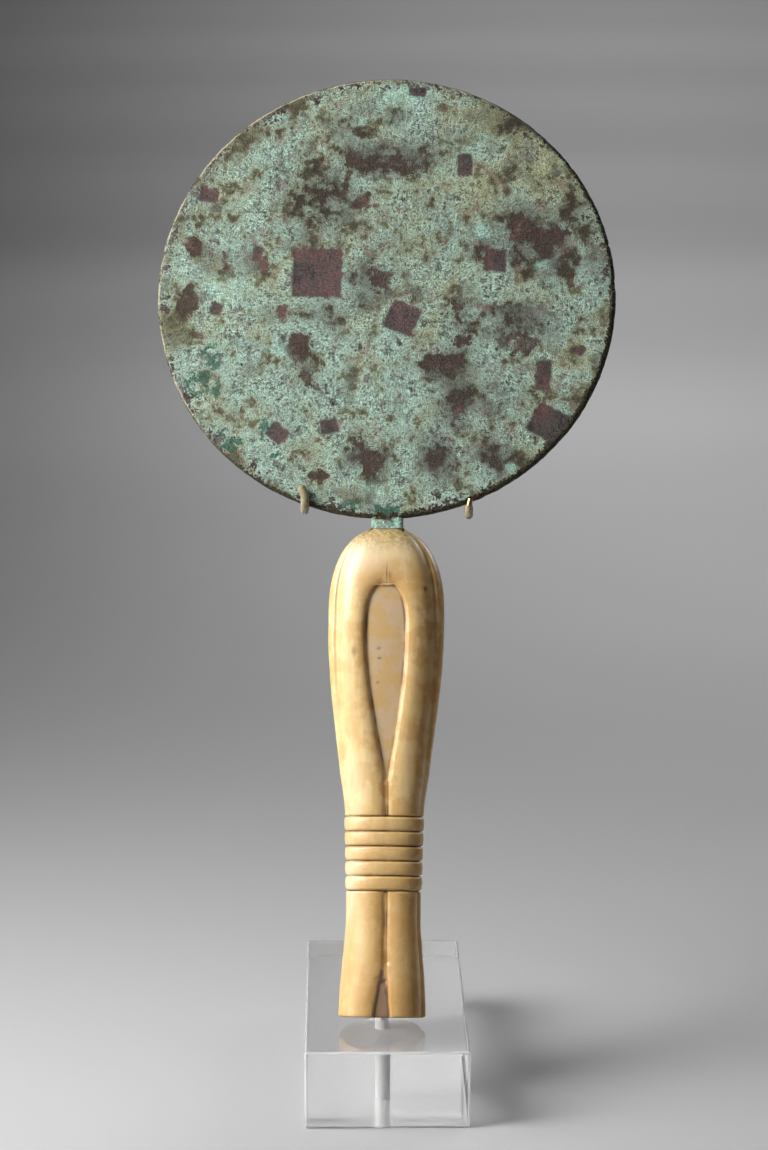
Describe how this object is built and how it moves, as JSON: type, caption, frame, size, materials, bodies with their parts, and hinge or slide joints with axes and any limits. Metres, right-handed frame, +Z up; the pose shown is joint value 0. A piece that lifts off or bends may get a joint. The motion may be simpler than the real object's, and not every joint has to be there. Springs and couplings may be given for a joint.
{
  "type": "ancient hand mirror on display stand",
  "caption": "Round copper alloy hand mirror with a carved ivory handle, leaning back in the sleeved prongs of a brass stem set in a clear block.",
  "frame": {"origin": "middle of the clear block's underside", "axes": "+Z up, +X to the viewer's right, the mirror's carved front towards -Y"},
  "size_m": [0.1447, 0.127, 0.313],
  "materials": {
    "patinated_bronze": "matte green patina over copper alloy, with maroon and brown corrosion",
    "ivory": "aged, softly polished ivory",
    "clear_acrylic": "clear, polished",
    "stand_brass": "satin",
    "sleeve_plastic": "translucent tan"
  },
  "bodies": {
    "root": {"mirror_disc": "patinated_bronze", "handle": "ivory", "stand_block": "clear_acrylic", "stand_rod": "stand_brass", "prong_sleeve_left": "sleeve_plastic", "prong_sleeve_right": "sleeve_plastic"}
  },
  "joints": []
}
